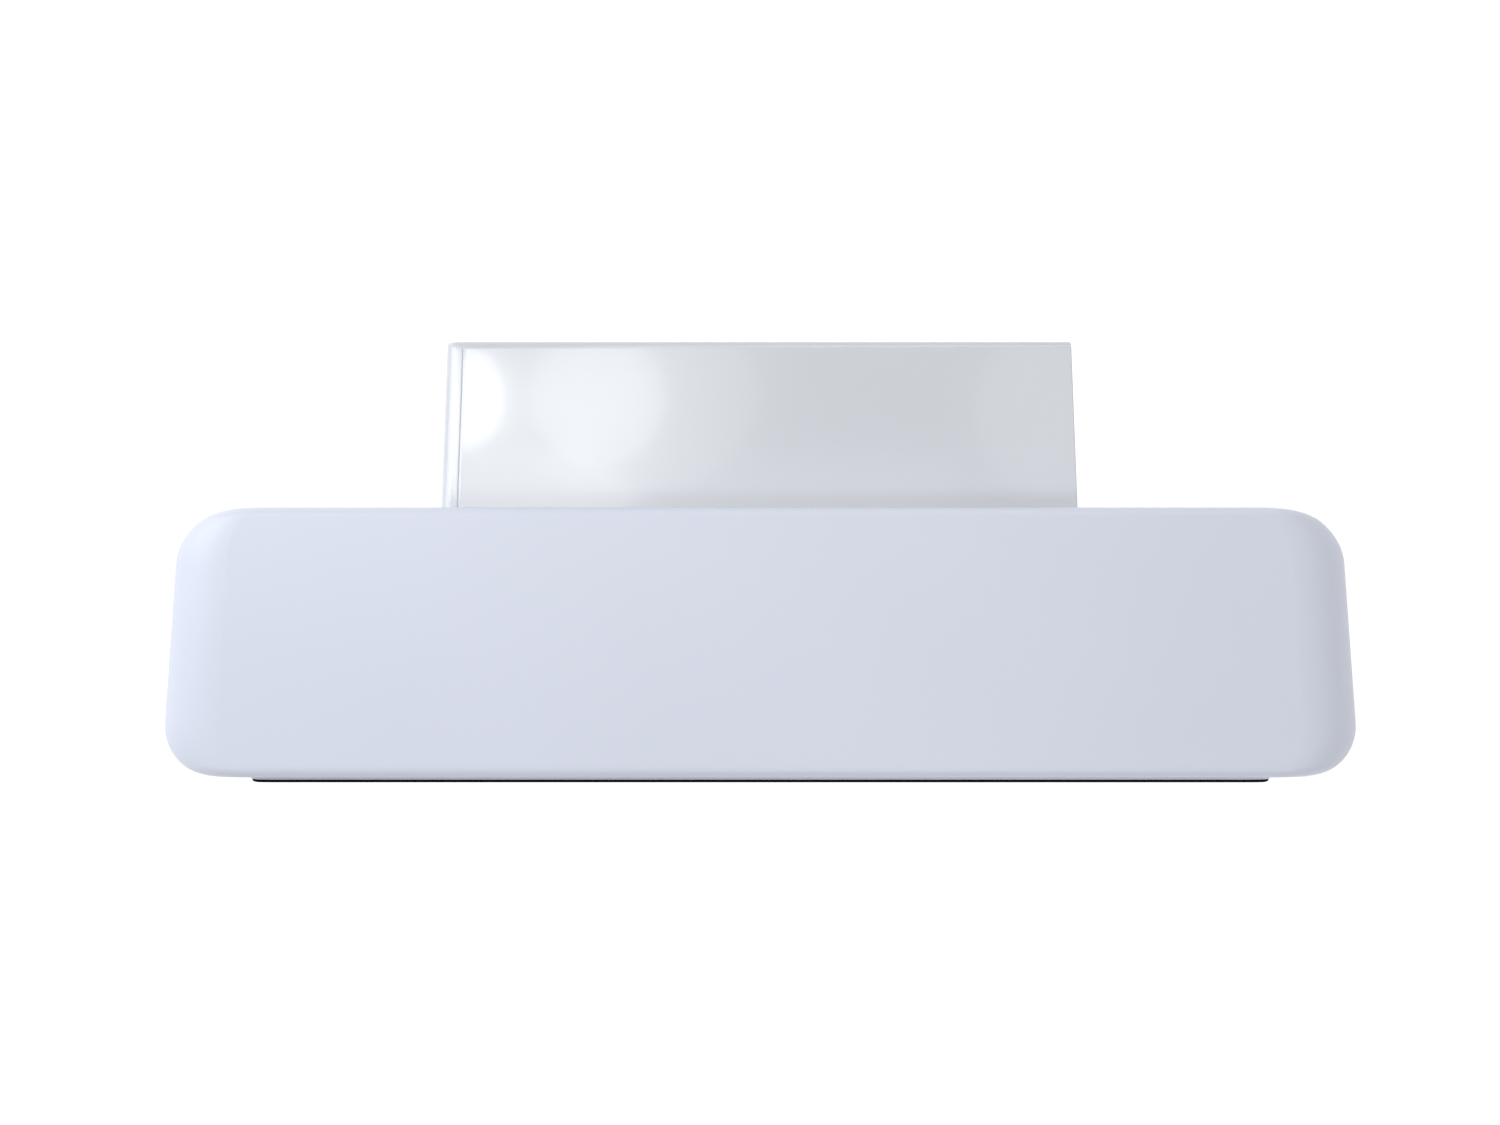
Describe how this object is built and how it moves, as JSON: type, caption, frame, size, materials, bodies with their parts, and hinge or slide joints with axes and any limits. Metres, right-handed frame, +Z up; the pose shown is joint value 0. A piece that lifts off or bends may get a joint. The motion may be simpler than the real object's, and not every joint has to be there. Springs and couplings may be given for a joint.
{
  "type": "wall battery unit",
  "caption": "Wall-mounted home battery: rounded white case with a black glass front, and a narrower folded sheet-metal converter housing behind it on a wall bracket.",
  "frame": {"origin": "centre of the wall bracket's back face, in the plane of the wall", "axes": "+Z up, +Y into the wall, so the black front faces -Y, +X to the right seen from the front"},
  "size_m": [0.644, 0.2423, 0.7],
  "materials": {
    "case_white": "satin moulded",
    "housing_white": "gloss paint",
    "black_glass": "polished, back printed black",
    "light": "frosted light guide",
    "circuit_board": "solder mask",
    "rubber": "matte",
    "black_plastic": "fine grain",
    "grey_plastic": "fine grain",
    "clear_plastic": "clear",
    "aluminium": "extruded",
    "steel": "zinc plated",
    "galvanised": "galvanised sheet",
    "copper": "bare copper",
    "brass": "turned",
    "ceramic_fuse": "glazed",
    "cell_can": "insulating film over an aluminium can"
  },
  "bodies": {
    "bracket": {"wall_bracket": "galvanised", "lock_screw_left": "steel", "lock_screw_right": "steel"},
    "unit": {"body_shell": "case_white", "front_glass": "black_glass", "light_guide": "light", "display_board": "circuit_board", "rear_panel": "housing_white", "panel_gasket": "rubber", "pressure_vent": "black_plastic", "compression_plate_left": "aluminium", "compression_plate_right": "aluminium", "tie_rod_lower": "steel", "tie_rod_middle": "steel", "tie_rod_upper": "steel", "busbar_carrier": "black_plastic", "pack_lead_negative": "copper", "pack_lead_positive": "copper", "main_fuse": "ceramic_fuse", "contactor": "black_plastic", "link_positive": "copper", "lead_grommet": "rubber", "bms_board": "circuit_board", "rear_housing": "housing_white", "housing_back_plate": "galvanised", "hanger_plate": "galvanised", "heat_sink": "aluminium", "power_board": "circuit_board", "inductor": "copper", "fan_frame_lower": "black_plastic", "fan_frame_upper": "black_plastic", "connection_plate": "galvanised", "cable_gland_battery": "black_plastic", "cable_gland_mains": "black_plastic", "cable_gland_data": "black_plastic", "earth_stud": "brass", "breaker_body": "grey_plastic", "flap_hinge": "grey_plastic", "button_bezel": "aluminium", "cell_01": "cell_can", "cell_02": "cell_can", "cell_03": "cell_can", "cell_04": "cell_can", "cell_05": "cell_can", "cell_06": "cell_can", "cell_07": "cell_can", "cell_08": "cell_can", "cell_09": "cell_can", "cell_10": "cell_can", "cell_11": "cell_can", "cell_12": "cell_can", "cell_13": "cell_can", "cell_14": "cell_can", "cell_15": "cell_can", "cell_16": "cell_can"},
    "fan_lower": {"fan_rotor_lower": "black_plastic"},
    "fan_upper": {"fan_rotor_upper": "black_plastic"},
    "breaker_lever": {"breaker_lever": "black_plastic"},
    "breaker_flap": {"breaker_flap": "clear_plastic"},
    "power_button": {"power_button": "black_plastic"}
  },
  "joints": [
    {"name": "unit_lift", "type": "slide", "parent": "bracket", "child": "unit", "axis": [0, 0, 1], "range_m": [0, 0.02]},
    {"name": "fan_lower_spin", "type": "hinge", "parent": "unit", "child": "fan_lower", "pos_m": [-0.1595, -0.056, -0.005], "axis": [1, 0, 0], "continuous": true},
    {"name": "fan_upper_spin", "type": "hinge", "parent": "unit", "child": "fan_upper", "pos_m": [-0.1595, -0.056, 0.075], "axis": [1, 0, 0], "continuous": true},
    {"name": "breaker_toggle", "type": "hinge", "parent": "unit", "child": "breaker_lever", "pos_m": [0.152, -0.056, -0.2925], "axis": [0, -1, 0], "range_deg": [0, 76]},
    {"name": "flap_open", "type": "hinge", "parent": "unit", "child": "breaker_flap", "pos_m": [0.1789, -0.056, -0.2495], "axis": [0, -1, 0], "range_deg": [0, 100]},
    {"name": "button_press", "type": "slide", "parent": "unit", "child": "power_button", "axis": [-1, 0, 0], "range_m": [0, 0.002], "stiffness_N_per_m": 400, "springref_m": -0.001}
  ]
}
